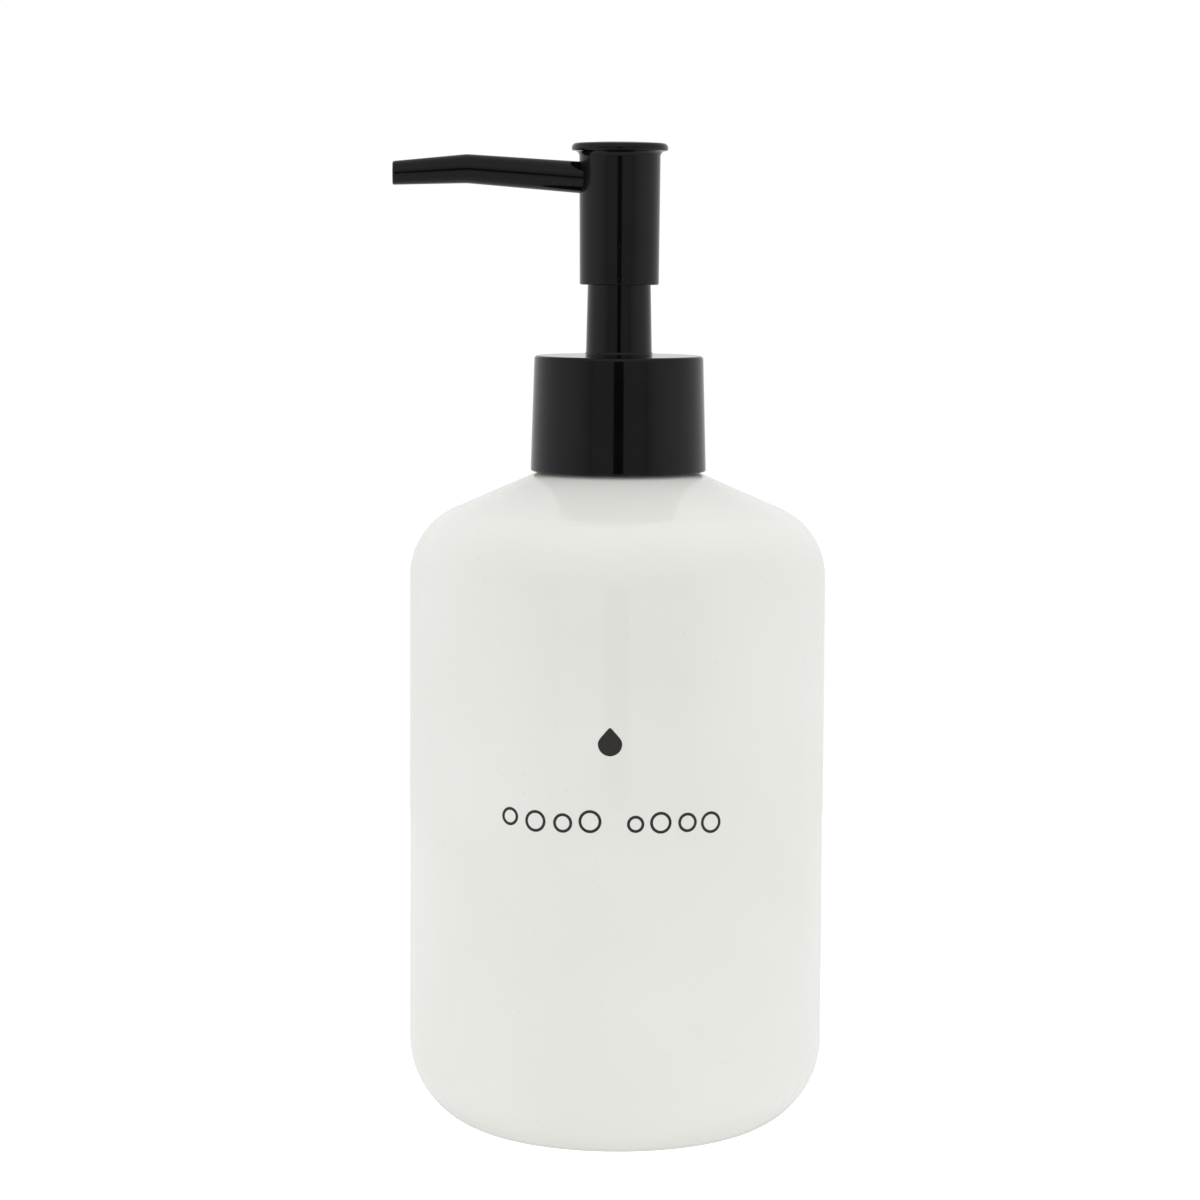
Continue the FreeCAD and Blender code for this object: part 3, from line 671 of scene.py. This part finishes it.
def mapped(tree, value, low, high, start=0.35, end=0.65):
    """A value mapped from start..end to low..high, and held inside."""
    node = tree.nodes.new("ShaderNodeMapRange")
    node.inputs["From Min"].default_value = start
    node.inputs["From Max"].default_value = end
    node.inputs["To Min"].default_value = low
    node.inputs["To Max"].default_value = high
    tree.links.new(value, node.inputs["Value"])
    return node.outputs["Result"]


def mixed(tree, share, first, second):
    """Two colours mixed by a share. A colour is a tuple or another node's output."""
    node = tree.nodes.new("ShaderNodeMix")
    node.data_type = "RGBA"
    for name, colour in (("A", first), ("B", second)):
        socket = [item for item in node.inputs
                  if item.name == name and item.type == "RGBA"][0]
        if isinstance(colour, tuple):
            socket.default_value = (*colour, 1)
        else:
            tree.links.new(colour, socket)
    tree.links.new(share, node.inputs["Factor"])
    return [item for item in node.outputs if item.type == "RGBA"][0]


def bumped(tree, shader, height, depth):
    """A bump from a height, its full range being depth metres."""
    node = tree.nodes.new("ShaderNodeBump")
    node.inputs["Strength"].default_value = 1.0
    node.inputs["Distance"].default_value = depth
    tree.links.new(height, node.inputs["Height"])
    tree.links.new(node.outputs["Normal"], shader.inputs["Normal"])


def paint(piece, material):
    """Give a piece one finish."""
    piece.data.materials.clear()
    piece.data.materials.append(material)


print("materials so far:", len(bpy.data.materials))

# %% [markdown]
# ### Glaze
#
# The glaze is a warm white under a clear, glassy surface. It pools a little, so its
# colour and gloss drift slowly over the body, and a few pinholes show close up. The foot
# ring stands on the kiln shelf, so it has no glaze: it is a matte buff.

# %% Glaze
def glaze():
    """White glaze, with the bare foot ring below it."""
    material, tree, shader, place = new_finish("white_glaze", 1.5)
    drift = noise(tree, place, 28, 2)
    colour = mixed(tree, mapped(tree, drift, 0, 1),
                   (0.838, 0.836, 0.796), (0.858, 0.856, 0.820))
    speck = mapped(tree, noise(tree, place, 1500, 1), 0, 0.35, 0.74, 0.80)
    colour = mixed(tree, speck, colour, (0.62, 0.59, 0.53))
    split = tree.nodes.new("ShaderNodeSeparateXYZ")
    tree.links.new(place.outputs["Object"], split.inputs["Vector"])
    bare = mapped(tree, split.outputs["Z"], 1, 0, 0.25 * MM, 0.5 * MM)
    colour = mixed(tree, bare, colour, (0.72, 0.68, 0.60))
    tree.links.new(colour, shader.inputs["Base Color"])
    gloss = mapped(tree, noise(tree, place, 60, 3), 0.02, 0.045)
    rough = tree.nodes.new("ShaderNodeMath")
    rough.operation = "MAXIMUM"
    tree.links.new(gloss, rough.inputs[0])
    matte = mapped(tree, bare, 0, 0.75, 0, 1)
    tree.links.new(matte, rough.inputs[1])
    tree.links.new(rough.outputs["Value"], shader.inputs["Roughness"])
    bumped(tree, shader, noise(tree, place, 170, 2), 0.012 * MM)
    return material


paint(bottle, glaze())
print("glaze on", bottle.name)

# %% [markdown]
# ### Black plastic
#
# Polished injection moulding: almost black, mirror-like, with a very slight waviness and
# a faint scatter of dust that a glossy black surface always shows.

# %% Black plastic
def black_plastic():
    """Polished black plastic with a little dust."""
    material, tree, shader, place = new_finish("black_gloss", 1.3)
    shade = mapped(tree, noise(tree, place, 90, 3), 0, 1)
    colour = mixed(tree, shade, (0.0020, 0.0020, 0.0025), (0.0032, 0.0032, 0.0038))
    dust = mapped(tree, noise(tree, place, 2600, 1), 0, 0.25, 0.78, 0.82)
    colour = mixed(tree, dust, colour, (0.16, 0.16, 0.155))
    tree.links.new(colour, shader.inputs["Base Color"])
    gloss = mapped(tree, noise(tree, place, 240, 4), 0.06, 0.10)
    tree.links.new(gloss, shader.inputs["Roughness"])
    bumped(tree, shader, noise(tree, place, 260, 2), 0.003 * MM)
    return material


gloss_black = black_plastic()
for piece in (closure, collar, head):
    paint(piece, gloss_black)
    print("black plastic on", piece.name)

# %% [markdown]
# ### Ink
#
# Screen-printed ceramic ink is a dark warm grey, less glossy than the glaze round it,
# and slightly uneven where the mesh of the screen let less of it through.

# %% Ink
def ink():
    """Dark screen-printed ink."""
    material, tree, shader, place = new_finish("ceramic_ink", 1.45)
    thin = mapped(tree, noise(tree, place, 2200, 3), 0, 1, 0.3, 0.7)
    colour = mixed(tree, thin, (0.010, 0.009, 0.006), (0.020, 0.018, 0.014))
    tree.links.new(colour, shader.inputs["Base Color"])
    tree.links.new(mapped(tree, thin, 0.42, 0.55, 0, 1), shader.inputs["Roughness"])
    return material


dark_ink = ink()
for mark in marks:
    paint(mark, dark_ink)
    print("ink on", mark.name)

# %% [markdown]
# ### The pieces inside
#
# The pump's inner pieces keep their shapes from the frame. They are milky plastic, soft
# white seals and bright steel, and only show when the pump is taken apart.

# %% Inner finishes
def milky_plastic(name, colours, gloss, grain):
    """A natural, slightly cloudy plastic."""
    material, tree, shader, place = new_finish(name, 1.49)
    colour = mixed(tree, mapped(tree, noise(tree, place, grain, 3), 0, 1), *colours)
    tree.links.new(colour, shader.inputs["Base Color"])
    tree.links.new(mapped(tree, noise(tree, place, grain * 4, 3), *gloss),
                   shader.inputs["Roughness"])
    bumped(tree, shader, noise(tree, place, grain * 6, 2), 0.01 * MM)
    return material


def steel():
    """Drawn and polished steel."""
    material, tree, shader, place = new_finish("bright_steel")
    shader.inputs["Metallic"].default_value = 1.0
    colour = mixed(tree, mapped(tree, noise(tree, place, 700, 2), 0, 1),
                   (0.55, 0.55, 0.56), (0.68, 0.68, 0.69))
    tree.links.new(colour, shader.inputs["Base Color"])
    tree.links.new(mapped(tree, noise(tree, place, 1500, 3), 0.18, 0.32),
                   shader.inputs["Roughness"])
    bumped(tree, shader, noise(tree, place, 3000, 2), 0.004 * MM)
    return material


inner_finishes = {
    "natural_plastic": milky_plastic(
        "natural_plastic", ((0.74, 0.75, 0.74), (0.82, 0.83, 0.81)), (0.30, 0.42), 120),
    "tube_plastic": milky_plastic(
        "tube_plastic", ((0.72, 0.75, 0.76), (0.80, 0.83, 0.83)), (0.20, 0.30), 90),
    "soft_seal": milky_plastic(
        "soft_seal", ((0.78, 0.78, 0.75), (0.84, 0.84, 0.82)), (0.50, 0.62), 200),
    "steel": steel(),
}
redrawn = {"bottle", "closure", "collar", "head"}
for row in frame["record"]["subparts"]:
    if row["node"] not in redrawn:
        paint(nodes[row["node"]], inner_finishes[row["material_slot"]])
        print(row["material_slot"], "on", row["node"])

# %% [markdown]
# ## Floor
#
# The bottle stands on a small bright table that glows a little, as a light table does, so
# that shadows stay faint. The table is clear from below, so that it never hides the foot.

# %% Floor
TABLE_RADIUS = 0.39
TABLE_GLOW = 0.50
TABLE_SEEN = 0.9
TABLE_MIRRORED = 0.3
TABLE_ROUGHNESS = 0.8


def make_floor():
    """A pale round table top."""
    mesh = bmesh.new()
    bmesh.ops.create_circle(mesh, cap_ends=True, segments=96, radius=TABLE_RADIUS)
    face_up(mesh)
    floor = finish_mesh(mesh, "table_top")
    material, tree, shader, place = new_finish("table_white", 1.4)
    colour = mixed(tree, mapped(tree, noise(tree, place, 3, 2), 0, 1),
                   (0.49, 0.49, 0.49), (0.52, 0.52, 0.52))
    tree.links.new(colour, shader.inputs["Base Color"])
    shader.inputs["Emission Color"].default_value = (1, 1, 1, 1)
    path = tree.nodes.new("ShaderNodeLightPath")
    glow = tree.nodes.new("ShaderNodeMath")
    glow.operation = "ADD"
    seen = mapped(tree, path.outputs["Is Camera Ray"], TABLE_GLOW, TABLE_SEEN, 0, 1)
    mirrored = mapped(tree, path.outputs["Is Glossy Ray"], 0, TABLE_MIRRORED - TABLE_GLOW, 0, 1)
    tree.links.new(seen, glow.inputs[0])
    tree.links.new(mirrored, glow.inputs[1])
    tree.links.new(glow.outputs["Value"], shader.inputs["Emission Strength"])
    shader.inputs["Roughness"].default_value = TABLE_ROUGHNESS
    side = tree.nodes.new("ShaderNodeNewGeometry")
    clear = tree.nodes.new("ShaderNodeBsdfTransparent")
    one_sided = tree.nodes.new("ShaderNodeMixShader")
    tree.links.new(side.outputs["Backfacing"], one_sided.inputs["Fac"])
    tree.links.new(shader.outputs["BSDF"], one_sided.inputs[1])
    tree.links.new(clear.outputs["BSDF"], one_sided.inputs[2])
    output = tree.nodes["Material Output"]
    tree.links.new(one_sided.outputs["Shader"], output.inputs["Surface"])
    paint(floor, material)


make_floor()

# %% [markdown]
# ## Camera
#
# A long lens stands a little above the closure and looks slightly down, so that upright
# lines stay almost parallel.

# %% Camera
VIEW_AZIMUTH = -4.0
VIEW_DISTANCE = 0.700
VIEW_HEIGHT = 0.1629
VIEW_PITCH = 5.45
VIEW_PAN = 0.259
VIEW_ROLL = 0.30
LENS = 116.6
SENSOR = 36


def make_camera():
    """A long lens a little above the closure, looking slightly down."""
    data = bpy.data.cameras.new("camera")
    data.lens = LENS
    data.sensor_width = SENSOR
    data.clip_start = 0.05
    data.clip_end = 50
    camera = bpy.data.objects.new("camera", data)
    bpy.context.scene.collection.objects.link(camera)
    around = math.radians(VIEW_AZIMUTH)
    turn = Matrix.Rotation(around + math.radians(VIEW_PAN), 4, "Z")
    tilt = Matrix.Rotation(math.radians(90 - VIEW_PITCH), 4, "X")
    roll = Matrix.Rotation(math.radians(VIEW_ROLL), 4, "Z")
    place = Matrix.Translation((VIEW_DISTANCE * math.sin(around),
                                -VIEW_DISTANCE * math.cos(around), VIEW_HEIGHT))
    camera.matrix_world = place @ turn @ tilt @ roll
    bpy.context.scene.camera = camera
    return camera


camera = make_camera()
print("camera at", [round(v, 3) for v in camera.matrix_world.translation])

# %% [markdown]
# ## Light
#
# The light is a white tent: it comes from everywhere, a little dimmer from the front. A
# narrow dark gap in front draws the fine dark line down the middle of every glossy
# cylinder. The tent is a sky of plain grey tones that depends only on direction. A lamp
# overhead lights matte surfaces, but no glossy one mirrors it. First come small helpers
# that work numbers out with nodes.

# %% Sums with nodes
class Sums:
    """Works numbers out with the nodes of one tree."""

    def __init__(self, tree):
        self.tree = tree

    def math(self, operation, *values):
        """One sum of numbers or other nodes' outputs."""
        node = self.tree.nodes.new("ShaderNodeMath")
        node.operation = operation
        for socket, value in zip(node.inputs, values):
            if isinstance(value, (int, float)):
                socket.default_value = value
            else:
                self.tree.links.new(value, socket)
        return node.outputs["Value"]

    def rising(self, value, start, end):
        """A smooth step from 0 at start to 1 at end."""
        node = self.tree.nodes.new("ShaderNodeMapRange")
        node.interpolation_type = "SMOOTHSTEP"
        node.inputs["From Min"].default_value = start
        node.inputs["From Max"].default_value = end
        self.tree.links.new(value, node.inputs["Value"])
        return node.outputs["Result"]

    def blended(self, share, first, second):
        """first where share is 0, second where it is 1."""
        rest = self.math("SUBTRACT", 1.0, share)
        return self.math("ADD", self.math("MULTIPLY", first, rest),
                         self.math("MULTIPLY", second, share))


def sines(angles):
    """The sines of angles in degrees, which are heights on a sphere of radius 1."""
    return [math.sin(math.radians(angle)) for angle in angles]


print("the horizon and the top are at heights", sines((0, 90)))

# %% Light
TENT = [(180, 0.84), (150, 0.84), (128, 0.88), (110, 0.93), (85, 1.02), (64, 1.0),
        (54, 0.88), (44, 0.72), (39.5, 0.62), (38, 0.54), (35.5, 0.54), (34, 0.62),
        (25, 0.64), (0, 0.62)]
RAMP_SCALE = 1.5
TENT_TOP = 0.80
TENT_TOP_FRONT = 0.25
TENT_CLIMB = (8, 38)
GAP_WIDTH = (6.0, 7.2)
GAP_BOTTOM = (-9.0, -7.5)
GAP_TOP = (5.0, 6.5)
GAP_LEVEL = 0.03
LAMP = 1.9
LAMP_BACK = 20
LAMP_SIZE = (34, 12)
SEEN_WHITE = 1.02


def tent_walls(sums, offset):
    """The tent's level round the horizon: a ramp from the front to the back."""
    ramp = sums.tree.nodes.new("ShaderNodeValToRGB")
    points = sorted((degrees / 180, value / RAMP_SCALE) for degrees, value in TENT)
    stops = ramp.color_ramp.elements
    while len(stops) < len(points):
        stops.new(0.5)
    for stop, (position, value) in zip(stops, points):
        stop.position = position
        stop.color = (value, value, value, 1)
    sums.tree.links.new(sums.math("DIVIDE", offset, math.pi), ramp.inputs["Fac"])
    return sums.math("MULTIPLY", ramp.outputs["Color"], RAMP_SCALE)


def tent_top(sums, facing, z, mirrored):
    """The tent's level overhead, with a lamp that only matte surfaces see."""
    up, back = sines((90 - LAMP_BACK, LAMP_BACK))
    aim = sums.math("SUBTRACT", sums.math("MULTIPLY", z, up),
                    sums.math("MULTIPLY", facing, back))
    lamp = sums.rising(aim, *sines(90 - size for size in LAMP_SIZE))
    lamp = sums.math("MULTIPLY", lamp,
                     sums.math("SUBTRACT", LAMP, sums.math("MULTIPLY", mirrored, LAMP)))
    return sums.math("ADD", sums.math("ADD", TENT_TOP, lamp),
                     sums.math("MULTIPLY", facing, TENT_TOP_FRONT))


def outside_gap(sums, offset, z):
    """0 in the dark gap in front, and 1 beside, above and below it."""
    beside = sums.rising(offset, *(math.radians(angle) for angle in GAP_WIDTH))
    above = sums.rising(z, *sines(GAP_TOP))
    below = sums.math("SUBTRACT", 1.0, sums.rising(z, *sines(GAP_BOTTOM)))
    return sums.math("MAXIMUM", beside, sums.math("MAXIMUM", above, below))


def make_light():
    """The tent, as a world whose level depends on direction. The lens sees it white."""
    world = bpy.data.worlds.new("tent")
    bpy.context.scene.world = world
    world.use_nodes = True
    tree = world.node_tree
    tree.nodes.clear()
    sums = Sums(tree)

    place = tree.nodes.new("ShaderNodeTexCoord")
    split = tree.nodes.new("ShaderNodeSeparateXYZ")
    tree.links.new(place.outputs["Generated"], split.inputs["Vector"])
    x, y, z = (split.outputs[name] for name in "XYZ")
    path = tree.nodes.new("ShaderNodeLightPath")
    front = math.radians(VIEW_AZIMUTH - 90)
    turn = sums.math("SUBTRACT", sums.math("ARCTAN2", y, x), front)
    offset = sums.math("ABSOLUTE", sums.math("WRAP", turn, math.pi, -math.pi))
    facing = sums.math("ADD", sums.math("MULTIPLY", x, math.cos(front)),
                       sums.math("MULTIPLY", y, math.sin(front)))

    walls = tent_walls(sums, offset)
    top = tent_top(sums, facing, z, path.outputs["Is Glossy Ray"])
    climb = sums.rising(sums.math("ABSOLUTE", z), *sines(TENT_CLIMB))
    level = sums.blended(climb, walls, top)
    level = sums.blended(outside_gap(sums, offset, z), GAP_LEVEL, level)
    level = sums.blended(path.outputs["Is Camera Ray"], level, SEEN_WHITE)

    background = tree.nodes.new("ShaderNodeBackground")
    background.inputs["Color"].default_value = (1, 1, 1, 1)
    tree.links.new(level, background.inputs["Strength"])
    output = tree.nodes.new("ShaderNodeOutputWorld")
    tree.links.new(background.outputs["Background"], output.inputs["Surface"])


make_light()
bpy.context.scene.view_settings.view_transform = "Standard"
print("lit by", bpy.context.scene.world.name)
